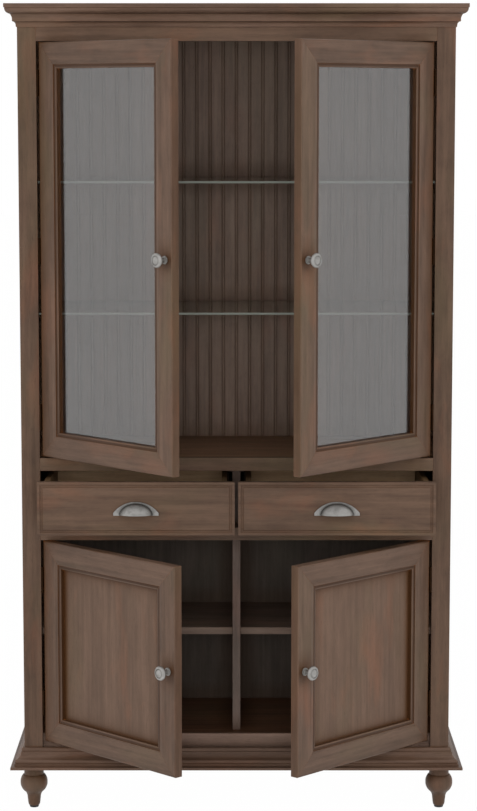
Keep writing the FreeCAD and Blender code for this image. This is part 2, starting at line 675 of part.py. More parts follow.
def door(level, low, high, rest, glazed, hingeCount):
    tall = high - low
    middle = (high + low) / 2
    stile, bar = doorMembers(level, tall, glazed)
    reach = tall / 2 - z.hingeFromEnd
    hingeLevels = [reach * (2 * n / (hingeCount - 1) - 1) for n in range(hingeCount)]
    for side in sideNames:
        name = "%s_%s_door" % (level, sideNames[side])
        rideDoor(group(name + "_stiles", stile, [(0, 0, 0, None), (0, 0, 0, "Y")]), side, rest, 0, 0, middle)
        rideDoor(group(name + "_rails", bar, [(0, 0, 0, None), (0, 0, 0, "Y")]), side, rest, 0, 0, middle)
        if glazed:
            halfX = doorWide / 2 - z.doorMember + z.rebateWide - z.glassPlay
            halfZ = tall / 2 - z.doorMember + z.rebateWide - z.glassPlay
            fill = board(name + "_glass", 0, 0, 0, 2 * halfX, z.glassThick, 2 * halfZ)
            rideDoor(fill, side, rest, -halfX, z.glassDepth, middle - halfZ)
        else:
            halfX = doorWide / 2 - z.doorMember + z.grooveDeep - z.panelPlay
            halfZ = tall / 2 - z.doorMember + z.grooveDeep - z.panelPlay
            fill = board(name + "_panel", 0, 0, 0, 2 * halfX, z.panelThick, 2 * halfZ)
            rideDoor(fill, side, rest, -halfX, z.panelDepth, middle - halfZ)
        rideDoor(knob(name + "_knob"), side, rest, -side * (doorWide / 2 - knobIn), 0, middle)
        flip = "Y" if side > 0 else None
        leaves = group(name + "_hinges", doorLeaf, [(0, 0, level_, flip) for level_ in hingeLevels])
        rideDoor(leaves, side, rest, side * (doorWide / 2 + pinToEdge), -pinOff, middle)
        for level_ in hingeLevels:
            caseLeafSpots.append((side * hingeX, hingeY, middle + level_, flip))


door("upper", hutchRailHigh + z.upperDoorFootGap, topRailLow - z.doorHeadGap, z.upperRest, True, 3)
door("lower", ledgeTop + z.lowerDoorFootGap, drawerRailLow - z.doorHeadGap, z.lowerRest, False, 2)
place(group("cabinet_hinge_leaves", caseLeaf, caseLeafSpots), 0, 0, 0)

# ---------------------------------------------------------------- drawers and slides
channelHalf = z.channelTall / 2
runnerHalf = channelHalf - z.sheetThick - z.runnerPlay
sheetThick = z.sheetThick
channel = newBody("slideChannel", False)
pad(channel, "XZ", [[(0, -channelHalf), (z.channelReach, -channelHalf),
                     (z.channelReach, sheetThick - channelHalf), (sheetThick, sheetThick - channelHalf),
                     (sheetThick, channelHalf - sheetThick), (z.channelReach, channelHalf - sheetThick),
                     (z.channelReach, channelHalf), (0, channelHalf)]], -channelLong, channelLong)
runner = newBody("slideRunner", False)
pad(runner, "XZ", [[(0, -runnerHalf), (z.runnerReach, -runnerHalf),
                    (z.runnerReach, sheetThick - runnerHalf), (sheetThick, sheetThick - runnerHalf),
                    (sheetThick, runnerHalf - sheetThick), (z.runnerReach, runnerHalf - sheetThick),
                    (z.runnerReach, runnerHalf), (0, runnerHalf)]], -runnerLong, runnerLong)
channelSpots = []
for side in sideNames:
    outer = side * halfOpening
    inner = side * z.dividerThick / 2
    channelSpots.append((outer, channelFront, slideMiddle, "Y" if side > 0 else None))
    channelSpots.append((inner, channelFront, slideMiddle, "Y" if side < 0 else None))
place(group("drawer_slide_channels", channel, channelSpots), 0, 0, 0)

batten = plainBoard("slideBatten", z.postWide - z.sideThick, backFront - z.postDeep, z.battenTall)
battenLow = slideMiddle - z.battenTall / 2
place(group("slide_battens", batten, [(-sideInner, 0, 0, None), (halfOpening, 0, 0, None)]),
      0, z.postDeep, battenLow)


def routedBorder(body, wide, tall):
    # A cove run round the drawer front just inside its edge.
    near = z.borderIn
    far = z.borderIn + z.borderWide
    spine = newSketch(body, "XZ", 0)
    drawOutline(spine, rectangle(near, near, wide - near, tall - near))
    section = newSketch(body, "YZ", wide / 2)
    radius = (z.borderWide * z.borderWide / 4 + z.borderDeep * z.borderDeep) / (2 * z.borderDeep)
    drawOutline(section, [(-1, near), (0, near), (0, far, radius), (-1, far)])
    cove = body.newObject("PartDesign::SubtractivePipe", body.Name + "Cove")
    cove.Profile = section
    cove.Spine = (spine, ["Edge1", "Edge2", "Edge3", "Edge4"])
    cove.Transition = "Right corner"


def drawerFront(name, side):
    body = board(name + "_front", side * frontMiddle - frontWide / 2, -z.drawerRest, frontLow,
                 frontWide, z.frontThick, frontTall)
    routedBorder(body, frontWide, frontTall)
    centre = side * (bayMiddle - frontMiddle) + frontWide / 2
    for way in (-1, 1):
        outerEdge = centre + way * (boxHalf + z.woodClearance)
        innerEdge = centre + way * (boxHalf - z.drawerSideThick - z.woodClearance)
        cut(body, "XY", [rectangle(outerEdge, z.frontThick - z.frontDado, innerEdge, z.frontThick + 1)],
            z.drawerSideLift - z.woodClearance, drawerSideTall + 2 * z.woodClearance)


def drawerSide():
    # The left side, grooved inside for the bottom; the right one is the same turned half round.
    body = newBody("drawerSide", False)
    deep = drawerLong + z.frontDado
    pad(body, "XY", [rectangle(-boxHalf, 0, z.drawerSideThick - boxHalf, deep)], 0, drawerSideTall)
    inner = z.drawerSideThick - boxHalf
    groove = rectangle(inner - z.frontDado, -1, inner + 1, deep + 1)
    cut(body, "XY", [groove], z.drawerBottomLift, z.drawerBottomThick + 2 * z.woodClearance)
    mirrored = body.newObject("PartDesign::Mirrored", "drawerSidePair")
    plane = [piece for piece in body.Origin.OriginFeatures if piece.Role == "YZ_Plane"][0]
    mirrored.Originals = [feature for feature in body.Group if feature.TypeId in
                          ("PartDesign::Pad", "PartDesign::Pocket")]
    mirrored.MirrorPlane = (plane, [""])
    body.Tip = mirrored
    return body


def cupPull(label):
    # Arched rim flat on the drawer front, and a hollow half dome open underneath.
    body = newBody(label)
    half = z.pullHalf
    tall = z.pullTall
    rise = tall - z.pullFootTall
    arch = [(-half, 0), (half, 0), (half, z.pullFootTall),
            (-half, z.pullFootTall, (half * half + rise * rise) / (2 * rise))]
    pad(body, "XZ", [arch], 0, z.pullRim)
    dome = body.newObject("PartDesign::AdditiveEllipsoid", label + "Dome")
    for path, size in (("Radius1", tall - z.pullRimTall), ("Radius2", half - z.pullRimWide), ("Radius3", z.pullReach)):
        bind(dome, path, size)
    bowl = body.newObject("PartDesign::SubtractiveEllipsoid", label + "Bowl")
    for path, size in (("Radius1", tall - z.pullRimTall - z.pullWall),
                       ("Radius2", half - z.pullRimWide - z.pullWall),
                       ("Radius3", z.pullReach - z.pullWall)):
        bind(bowl, path, size)
    behind = rectangle(-half - 1, 0, half + 1, tall + 1)
    cut(body, "XY", [behind], -tall - 1, 2 * tall + 2)
    below = rectangle(-half - 1, -z.pullReach - 1, half + 1, 1)
    cut(body, "XY", [below], -tall - 1, tall + 1)
    lip = rectangle(-half - 1, -z.pullReach - 1, half + 1, -z.pullRim)
    cut(body, "XY", [lip], -1, z.pullLipLift + 1)
    return body


sidePair = drawerSide()
for side in sideNames:
    name = sideNames[side] + "_drawer"
    bay = side * bayMiddle
    boxFront = z.frontThick - z.drawerRest
    drawerFront(name, side)
    place(group(name + "_sides", sidePair, [(0, 0, 0, None)]), bay, boxFront - z.frontDado, boxLow)
    insideHalf = boxHalf - z.drawerSideThick
    bottomTop = z.drawerBottomLift + z.drawerBottomThick + z.woodClearance
    backLow = boxLow + bottomTop + z.woodClearance
    board(name + "_back", bay - insideHalf, boxFront + drawerLong - z.drawerSideThick, backLow,
          2 * insideHalf, z.drawerSideThick, drawerSideTall - bottomTop - z.woodClearance)
    bottomHalf = insideHalf + z.frontDado - z.woodClearance
    board(name + "_bottom", bay - bottomHalf, boxFront, boxLow + z.drawerBottomLift + z.woodClearance,
          2 * bottomHalf, drawerLong, z.drawerBottomThick)
    place(cupPull(name + "_pull"), side * frontMiddle, -z.drawerRest, frontLow + z.pullAbove)
    runnerSpots = [(bay - boxHalf, 0, 0, "Y"), (bay + boxHalf, 0, 0, None)]
    place(group(name + "_runners", runner, runnerSpots), 0, boxFront + z.runnerSetBack, slideMiddle)

# ---------------------------------------------------------------- checks and export
doc.recompute()
faults = []
for thing in doc.Objects:
    if "Invalid" in thing.State or "Error" in thing.State:
        faults.append("%s is %s" % (thing.Label, thing.State))
    if thing.TypeId in ("PartDesign::Pocket", "PartDesign::SubtractiveEllipsoid", "PartDesign::SubtractivePipe"):
        if thing.Shape.Volume > thing.BaseFeature.Shape.Volume - 0.01:
            faults.append(thing.Label + " cuts nothing")
for node in nodes:
    if node.Shape.isNull() or not node.Shape.isValid() or not node.Shape.Solids:
        faults.append(node.Label + " has no valid solid")
if len(set(node.Label for node in nodes)) != len(nodes):
    faults.append("two nodes share a name")
if faults:
    raise RuntimeError("; ".join(faults))

os.makedirs("parts", exist_ok=True)
for node in nodes:
    node.Shape.exportStep("parts/%s.step" % node.Label)
print(len(nodes), "nodes; face frame's front plane at Y =", round(frontPlane.value, 3))
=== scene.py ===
import math

import bmesh
import bpy
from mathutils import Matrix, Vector


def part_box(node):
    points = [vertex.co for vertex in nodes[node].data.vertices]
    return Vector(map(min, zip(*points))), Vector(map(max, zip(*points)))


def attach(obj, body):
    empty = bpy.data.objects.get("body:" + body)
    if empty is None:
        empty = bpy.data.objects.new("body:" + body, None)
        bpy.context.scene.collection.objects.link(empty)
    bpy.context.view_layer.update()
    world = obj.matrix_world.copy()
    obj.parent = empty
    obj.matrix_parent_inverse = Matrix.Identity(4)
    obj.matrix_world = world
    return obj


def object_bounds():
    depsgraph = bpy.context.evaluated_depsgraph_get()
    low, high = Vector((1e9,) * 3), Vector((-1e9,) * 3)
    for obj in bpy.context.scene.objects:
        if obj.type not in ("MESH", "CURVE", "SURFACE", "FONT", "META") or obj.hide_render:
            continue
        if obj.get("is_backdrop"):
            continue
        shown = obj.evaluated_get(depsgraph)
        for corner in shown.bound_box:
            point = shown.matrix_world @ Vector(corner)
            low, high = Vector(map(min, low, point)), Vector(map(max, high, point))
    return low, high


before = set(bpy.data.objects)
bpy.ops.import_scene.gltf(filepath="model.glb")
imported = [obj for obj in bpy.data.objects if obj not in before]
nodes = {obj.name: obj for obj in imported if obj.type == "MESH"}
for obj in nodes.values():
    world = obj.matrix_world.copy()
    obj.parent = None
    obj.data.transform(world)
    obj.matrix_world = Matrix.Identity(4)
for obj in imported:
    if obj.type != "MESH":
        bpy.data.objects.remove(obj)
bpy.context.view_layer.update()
# how far each door stands open at rest, in degrees
doorTurns = {"upper_left": -46.57, "upper_right": 46.57, "lower_left": -45.89, "lower_right": 45.89}


# small helpers for node trees
def addNode(tree, kind, label="", **values):
    node = tree.nodes.new(kind)
    node.label = label
    for name, value in values.items():
        setattr(node, name, value)
    return node


def wire(tree, *pairs):
    for source, target in pairs:
        tree.links.new(source, target)


def maths(tree, operation, *values):
    node = addNode(tree, "ShaderNodeMath", operation=operation)
    for slot, value in enumerate(values):
        if isinstance(value, (int, float)):
            node.inputs[slot].default_value = value
        else:
            wire(tree, (value, node.inputs[slot]))
    return node.outputs[0]


def noise(tree, vector, stretch, detail=3.0, rough=0.5, warp=0.0):
    # stretch is how many times a metre the pattern changes along each axis
    scaled = addNode(tree, "ShaderNodeVectorMath", operation="MULTIPLY")
    scaled.inputs[1].default_value = stretch
    texture = addNode(tree, "ShaderNodeTexNoise")
    texture.inputs["Scale"].default_value = 1.0
    texture.inputs["Detail"].default_value = detail
    texture.inputs["Roughness"].default_value = rough
    texture.inputs["Distortion"].default_value = warp
    wire(tree, (vector, scaled.inputs[0]), (scaled.outputs[0], texture.inputs["Vector"]))
    return texture.outputs["Fac"]


def ramp(tree, value, low, high):
    node = addNode(tree, "ShaderNodeMapRange", clamp=True)
    node.inputs["From Min"].default_value = low
    node.inputs["From Max"].default_value = high
    wire(tree, (value, node.inputs["Value"]))
    return node.outputs["Result"]


def mixColour(tree, factor, first, second):
    node = addNode(tree, "ShaderNodeMix", data_type="RGBA")
    for slot, value in ((0, factor), (6, first), (7, second)):
        if isinstance(value, (int, float, tuple)):
            node.inputs[slot].default_value = value
        else:
            wire(tree, (value, node.inputs[slot]))
    return node.outputs[2]


def tone(red, green, blue):
    # a colour as it is read off a swatch, 0 to 255
    parts = [channel / 255 for channel in (red, green, blue)]
    return tuple(p / 12.92 if p <= 0.04045 else ((p + 0.055) / 1.055) ** 2.4 for p in parts) + (1.0,)


def newGroup(name, sockets):
    group = bpy.data.node_groups.new(name, "ShaderNodeTree")
    for direction, label, kind, value in sockets:
        socket = group.interface.new_socket(name=label, in_out=direction, socket_type=kind)
        if value is not None:
            socket.default_value = value
    start = addNode(group, "NodeGroupInput")
    end = addNode(group, "NodeGroupOutput")
    return group, start.outputs, end.inputs


# stained grain: streaks along the board, pores, and patches of redder and greener stain
# each pattern has its changes a metre along and across the board, detail, roughness and distortion
grainPatterns = {
    "broad": ((1.6, 17, 17), 3.0, 0.55, 0.6), "streak": ((4.0, 95, 95), 4.0, 0.6, 0.3),
    "fine": ((22, 620, 620), 2.0, 0.6), "pores": ((60, 1500, 1500), 1.0, 0.5),
    "red": ((4.5, 13, 13), 3.0, 0.55, 0.4), "olive": ((2.7, 8, 8), 2.0, 0.5, 0.3),
    "mottle": ((14, 42, 42), 3.0, 0.6, 0.5)}
grainRanges = {"pores": (0.63, 0.74), "red": (0.55, 0.80), "olive": (0.50, 0.78), "dark": (0.40, 0.62),
               "fine": (0.42, 0.75)}
grainShares = {"broad": 0.35, "streak": 0.40, "mottle": 0.25, "fineDark": 0.22, "poreDark": 0.45,
               "streakSheen": 0.16, "poreSheen": 0.15, "fineHeight": 0.5}
poreColour = (44, 32, 26)


def stainedGrain():
    group, given, result = newGroup("Stained grain", [
        ("INPUT", "Vector", "NodeSocketVector", None),
        ("INPUT", "Stain", "NodeSocketColor", tone(104, 84, 72)),
        ("INPUT", "Dark stain", "NodeSocketColor", tone(80, 64, 55)),
        ("INPUT", "Red stain", "NodeSocketColor", tone(126, 84, 64)),
        ("INPUT", "Olive stain", "NodeSocketColor", tone(98, 86, 68)),
        ("INPUT", "Streaks", "NodeSocketFloat", 0.5),
        ("INPUT", "Patches", "NodeSocketFloat", 0.5),
        ("OUTPUT", "Color", "NodeSocketColor", None),
        ("OUTPUT", "Sheen", "NodeSocketFloat", None),
        ("OUTPUT", "Height", "NodeSocketFloat", None)])
    vector = given["Vector"]
    shares, ranges = grainShares, grainRanges
    broad = noise(group, vector, *grainPatterns["broad"])
    streak = noise(group, vector, *grainPatterns["streak"])
    fine = noise(group, vector, *grainPatterns["fine"])
    pores = ramp(group, noise(group, vector, *grainPatterns["pores"]), *ranges["pores"])
    redPatch = ramp(group, noise(group, vector, *grainPatterns["red"]), *ranges["red"])
    olivePatch = ramp(group, noise(group, vector, *grainPatterns["olive"]), *ranges["olive"])
    mottle = noise(group, vector, *grainPatterns["mottle"])
    mixed = maths(group, "ADD", maths(group, "MULTIPLY", broad, shares["broad"]), maths(
        group, "ADD", maths(group, "MULTIPLY", streak, shares["streak"]),
        maths(group, "MULTIPLY", mottle, shares["mottle"])))
    dark = maths(group, "MULTIPLY", ramp(group, mixed, *ranges["dark"]), given["Streaks"])
    colour = mixColour(group, dark, given["Stain"], given["Dark stain"])
    colour = mixColour(group, maths(group, "MULTIPLY", olivePatch, given["Patches"]), colour,
                       given["Olive stain"])
    colour = mixColour(group, maths(group, "MULTIPLY", redPatch, given["Patches"]), colour,
                       given["Red stain"])
    fineDark = maths(group, "MULTIPLY", ramp(group, fine, *ranges["fine"]), shares["fineDark"])
    colour = mixColour(group, fineDark, colour, given["Dark stain"])
    poreDark = maths(group, "MULTIPLY", pores, shares["poreDark"])
    colour = mixColour(group, poreDark, colour, tone(*poreColour))
    sheen = maths(group, "ADD", maths(group, "MULTIPLY", streak, shares["streakSheen"]), maths(
        group, "MULTIPLY", pores, shares["poreSheen"]))
    height = maths(group, "SUBTRACT", maths(group, "MULTIPLY", fine, shares["fineHeight"]), pores)
    wire(group, (colour, result["Color"]), (sheen, result["Sheen"]), (height, result["Height"]))
    return group


# glaze and painted shade gather where surfaces meet, painted light fills the deepest gaps, and the stain is
# rubbed thin on outside edges
glazeAndShadeSizes = {"hollowReach": 0.009, "hollowRange": (0.94, 0.42), "cornerShadeReach": 0.045,
              "cornerShadeRange": (0.99, 0.78), "paintedGapLightRange": (0.42, 0.12), "edgeRound": 0.0022,
              "edgeRange": (0.985, 0.86), "wearPattern": ((34, 34, 34), 4.0, 0.6),
              "wearRange": (0.38, 0.66), "hollowSamples": 6, "edgeSamples": 4}
# the glaze colour is glaze and painted shade for hollows and corners; the gap colour is painted light for
# the deepest gaps
glazeAndShadeColour, wornColour, paintedGapLightColour = (66, 38, 12), (134, 100, 80), (196, 116, 58)


def glazeShadeAndWear():
    group, given, result = newGroup("Glaze, painted shade and wear", [
        ("INPUT", "Color", "NodeSocketColor", None),
        ("INPUT", "Vector", "NodeSocketVector", None),
        ("INPUT", "Glaze and shade color", "NodeSocketColor", tone(*glazeAndShadeColour)),
        ("INPUT", "Worn color", "NodeSocketColor", tone(*wornColour)),
        ("INPUT", "Hollow glaze and shade", "NodeSocketFloat", 0.6),
        ("INPUT", "Painted corner shade", "NodeSocketFloat", 0.6),
        ("INPUT", "Painted gap light", "NodeSocketFloat", 0.0),
        ("INPUT", "Wear", "NodeSocketFloat", 0.4),
        ("OUTPUT", "Color", "NodeSocketColor", None)])
    # glaze and painted shade: a short-reach occlusion darkens hollows and grooves
    hollow = addNode(group, "ShaderNodeAmbientOcclusion", samples=glazeAndShadeSizes["hollowSamples"])
    hollow.inputs["Distance"].default_value = glazeAndShadeSizes["hollowReach"]
    # painted shade: a long-reach occlusion darkens corners and the door faces beside the posts
    corner = addNode(group, "ShaderNodeAmbientOcclusion", samples=glazeAndShadeSizes["hollowSamples"])
    corner.inputs["Distance"].default_value = glazeAndShadeSizes["cornerShadeReach"]
    inHollow = ramp(group, hollow.outputs["AO"], *glazeAndShadeSizes["hollowRange"])
    inCornerShade = ramp(group, corner.outputs["AO"], *glazeAndShadeSizes["cornerShadeRange"])
    glazeAndShade = maths(group, "MAXIMUM", maths(group, "MULTIPLY", inHollow, given["Hollow glaze and shade"]),
                     maths(group, "MULTIPLY", inCornerShade, given["Painted corner shade"]))
    rounded = addNode(group, "ShaderNodeBevel", samples=glazeAndShadeSizes["edgeSamples"])
    rounded.inputs["Radius"].default_value = glazeAndShadeSizes["edgeRound"]
    surface = addNode(group, "ShaderNodeNewGeometry")
    turned = addNode(group, "ShaderNodeVectorMath", operation="DOT_PRODUCT")
    wire(group, (rounded.outputs["Normal"], turned.inputs[0]),
         (surface.outputs["Normal"], turned.inputs[1]))
    edge = ramp(group, turned.outputs["Value"], *glazeAndShadeSizes["edgeRange"])
    patchy = ramp(group, noise(group, given["Vector"], *glazeAndShadeSizes["wearPattern"]),
                  *glazeAndShadeSizes["wearRange"])
    outside = maths(group, "MULTIPLY", edge, maths(group, "SUBTRACT", 1.0, glazeAndShade))
    worn = maths(group, "MULTIPLY", maths(group, "MULTIPLY", outside, patchy), given["Wear"])
    colour = mixColour(group, worn, given["Color"], given["Worn color"])
    colour = mixColour(group, glazeAndShade, colour, given["Glaze and shade color"])
    # painted light: where the hollow occlusion is deepest, in gaps, a bright orange-brown stands in for
    # light
    inPaintedGapLight = ramp(group, hollow.outputs["AO"], *glazeAndShadeSizes["paintedGapLightRange"])
    paintedGapLight = maths(group, "MULTIPLY", inPaintedGapLight, given["Painted gap light"])
    colour = mixColour(group, paintedGapLight, colour, tone(*paintedGapLightColour))
    wire(group, (colour, result["Color"]))
    return group


grainGroup = stainedGrain()
glazeAndShadeGroup = glazeShadeAndWear()


def newMaterial(name):
    material = bpy.data.materials.new(name)
    material.use_nodes = True
    tree = material.node_tree
    tree.nodes.clear()
    shader = addNode(tree, "ShaderNodeBsdfPrincipled")
    end = addNode(tree, "ShaderNodeOutputMaterial")
    wire(tree, (shader.outputs[0], end.inputs["Surface"]))
    return material, tree, shader


def placed(tree, rotation=(0, 0, 0), move=(0, 0, 0)):
    where = addNode(tree, "ShaderNodeTexCoord")
    mapping = addNode(tree, "ShaderNodeMapping", vector_type="POINT")
    mapping.inputs["Rotation"].default_value = [math.radians(angle) for angle in rotation]
    mapping.inputs["Location"].default_value = move
    wire(tree, (where.outputs["Object"], mapping.inputs["Vector"]))
    return mapping.outputs["Vector"]


def along(tree, output, way):
    # how far a coordinate reaches along a direction
    node = addNode(tree, "ShaderNodeVectorMath", operation="DOT_PRODUCT")
    node.inputs[1].default_value = way
    wire(tree, (addNode(tree, "ShaderNodeTexCoord").outputs[output], node.inputs[0]))
    return node.outputs["Value"]


def bump(tree, shader, height, strength, distance):
    node = addNode(tree, "ShaderNodeBump")
    node.inputs["Strength"].default_value = strength
    node.inputs["Distance"].default_value = distance
    wire(tree, (height, node.inputs["Height"]), (node.outputs["Normal"], shader.inputs["Normal"]))


grainTurns = {"up": (0, 90, 0), "across": (0, 0, 0), "deep": (0, 0, 90)}
woodSizes = {"sheenMiddle": 0.08, "shine": 0.25, "bump": 0.25, "bumpDepth": 0.0004,
             "edgeRange": (0.75, 0.97), "edgeShare": 0.36, "frontRange": (0.3, 0.6)}
creaseColour = (50, 28, 10)


def wood(name, grain="up", turn=0.0, move=(0, 0, 0), stains=(), streaks=1.0, patches=0.5,
         hollowGlazeAndShade=0.66, corner=0.35, wear=0.4, gloss=0.46, paintedGapLight=0.0, edgeWay=None, crease=None):
    # grain is the way the fibres run; turn squares a door's rails up with the grain; edgeWay is the way
    # that a browner edge faces;
    # crease is a line of glaze and painted shade along a door member's bead; the hollow glaze weight sets
    # glaze and painted shade in hollows, the corner weight sets painted shade in corners, and the gap
    # weight sets painted light in deep gaps
    material, tree, shader = newMaterial(name)
    rotation = grainTurns[grain] if grain != "across" else (0, 0, turn)
    vector = placed(tree, rotation, move)
    fibres = addNode(tree, "ShaderNodeGroup", node_tree=grainGroup)
    surface = addNode(tree, "ShaderNodeGroup", node_tree=glazeAndShadeGroup)
    for label, colour in zip(("Stain", "Dark stain", "Red stain", "Olive stain"), stains):
        fibres.inputs[label].default_value = tone(*colour)
    fibres.inputs["Streaks"].default_value = streaks
    fibres.inputs["Patches"].default_value = patches
    surface.inputs["Hollow glaze and shade"].default_value = hollowGlazeAndShade
    surface.inputs["Painted corner shade"].default_value = corner
    surface.inputs["Painted gap light"].default_value = paintedGapLight
    surface.inputs["Wear"].default_value = wear
    roughness = maths(tree, "ADD", fibres.outputs["Sheen"], gloss - woodSizes["sheenMiddle"])
    stained = fibres.outputs["Color"]
    if edgeWay:
        onEdge = ramp(tree, along(tree, "Normal", edgeWay), *woodSizes["edgeRange"])
        stained = mixColour(tree, maths(tree, "MULTIPLY", onEdge, woodSizes["edgeShare"]), stained,
                            tone(*glazeAndShadeColour))
    # painted shade: a dark line of glaze and shade along the crease beside the bead
    if crease:
        place = along(tree, "Object", crease["across"])
        fromMiddle = maths(tree, "ABSOLUTE", maths(tree, "SUBTRACT", place, crease["middle"]))
        lineAt = crease["half"] - crease["fromEdge"]
        offLine = maths(tree, "ABSOLUTE", maths(tree, "SUBTRACT", lineAt, fromMiddle))
        front = ramp(tree, along(tree, "Normal", crease["front"]), *woodSizes["frontRange"])
        line = maths(tree, "MULTIPLY", ramp(tree, offLine, crease["reach"], crease["core"]), front)
        stained = mixColour(tree, maths(tree, "MULTIPLY", line, crease["strength"]), stained,
                            tone(*creaseColour))
    wire(tree, (vector, fibres.inputs["Vector"]), (stained, surface.inputs["Color"]),
         (vector, surface.inputs["Vector"]), (surface.outputs["Color"], shader.inputs["Base Color"]),
         (roughness, shader.inputs["Roughness"]))
    bump(tree, shader, fibres.outputs["Height"], woodSizes["bump"], woodSizes["bumpDepth"])
    shader.inputs["Specular IOR Level"].default_value = woodSizes["shine"]
    return material


metalSizes = {"cloud": ((70, 70, 70), 4.0, 0.6), "cloudRange": (0.40, 0.68),
              "scratch": ((260, 260, 260), 3.0, 0.6), "hollowGlazeAndShade": 0.16, "wear": 0.25,
              "scratchRough": 0.24, "scratchMiddle": 0.12, "bump": 0.10, "bumpDepth": 0.0002}


def metal(name, colour, dark, worn, rough, patina, corner=0.6):
    material, tree, shader = newMaterial(name)
    vector = placed(tree)
    cloud = ramp(tree, noise(tree, vector, *metalSizes["cloud"]), *metalSizes["cloudRange"])
    scratch = noise(tree, vector, *metalSizes["scratch"])
    colour = mixColour(tree, maths(tree, "MULTIPLY", cloud, patina), tone(*colour), tone(*dark))
    # the glaze group darkens a metal's hollows and corners with its dark colour: patina, and painted shade
    surface = addNode(tree, "ShaderNodeGroup", node_tree=glazeAndShadeGroup)
    surface.inputs["Glaze and shade color"].default_value = tone(*dark)
    surface.inputs["Worn color"].default_value = tone(*worn)
    surface.inputs["Hollow glaze and shade"].default_value = metalSizes["hollowGlazeAndShade"]
    surface.inputs["Painted corner shade"].default_value = corner
    surface.inputs["Wear"].default_value = metalSizes["wear"]
    wire(tree, (colour, surface.inputs["Color"]), (vector, surface.inputs["Vector"]),
         (surface.outputs["Color"], shader.inputs["Base Color"]),
         (maths(tree, "ADD", maths(tree, "MULTIPLY", scratch, metalSizes["scratchRough"]),
                rough - metalSizes["scratchMiddle"]), shader.inputs["Roughness"]))
    shader.inputs["Metallic"].default_value = 1.0
    bump(tree, shader, scratch, metalSizes["bump"], metalSizes["bumpDepth"])
    return material


def glass(name, colour, ior):
    material, tree, shader = newMaterial(name)
    shader.inputs["Roughness"].default_value = 0.0
    shader.inputs["Base Color"].default_value = tone(*colour)
    shader.inputs["Transmission Weight"].default_value = 1.0
    shader.inputs["IOR"].default_value = ior
    return material


plasticSizes = {"speck": ((900, 900, 900), 2.0, 0.5), "speckColour": (58, 57, 55), "speckShare": 0.3,
                "speckRough": 0.2, "bump": 0.15, "bumpDepth": 0.0002}


def plastic(name, colour, rough):
    material, tree, shader = newMaterial(name)
    vector = placed(tree)
    speck = noise(tree, vector, *plasticSizes["speck"])
    wire(tree, (mixColour(tree, maths(tree, "MULTIPLY", speck, plasticSizes["speckShare"]), tone(*colour),
                          tone(*plasticSizes["speckColour"])), shader.inputs["Base Color"]),
         (maths(tree, "ADD", maths(tree, "MULTIPLY", speck, plasticSizes["speckRough"]), rough),
          shader.inputs["Roughness"]))
    bump(tree, shader, speck, plasticSizes["bump"], plasticSizes["bumpDepth"])
    return material


print("materials")
# each wood's tone, then its dark, red and olive ones; the rail, moulding, edging, side panel, inside, deep,
# shelf, hutch floor and lower back tones are painted light, lighter than the wood's tone to stand in for
# light where those parts sit in shade, and the drawer side tone is painted shade, darker than the box wood
stainTones = {
    "main": ((98, 76, 61), (69, 52, 41), (124, 78, 55), (90, 79, 55)),
    "door": ((100, 78, 64), (73, 56, 45), (122, 79, 57), (93, 81, 59)),
    "panel": ((104, 81, 66), (76, 58, 46), (126, 83, 60), (97, 83, 62)),
    "sidePanel": ((118, 90, 70), (90, 66, 50), (138, 90, 64), (108, 92, 66)),
    "inside": ((120, 100, 88), (88, 72, 63), (132, 96, 80), (110, 98, 84)),
    "deep": ((118, 84, 62), (84, 58, 42), (128, 80, 54), (104, 82, 56)),
    "side": ((104, 82, 58), (84, 64, 44), (116, 82, 54), (98, 84, 56)),
    "edging": ((141, 115, 100), (118, 95, 83), (152, 114, 93), (130, 111, 93)),
    "shelf": ((128, 107, 94), (96, 79, 69), (138, 102, 86), (116, 104, 90)),
    "hutchFloor": ((134, 97, 73), (98, 69, 51), (144, 93, 65), (119, 95, 67)),
    "divider": ((114, 97, 89), (86, 72, 65), (126, 94, 80), (106, 96, 85)),
    "moulding": ((106, 83, 69), (78, 59, 48), (128, 84, 61), (98, 86, 61)),
    "rail": ((110, 87, 71), (80, 61, 49), (133, 88, 63), (100, 88, 63)),
    "box": ((204, 174, 140), (176, 146, 114), (214, 168, 128), (198, 176, 136)),
    "lowerBack": ((90, 80, 72), (70, 62, 56), (94, 78, 68), (86, 80, 70)),
}
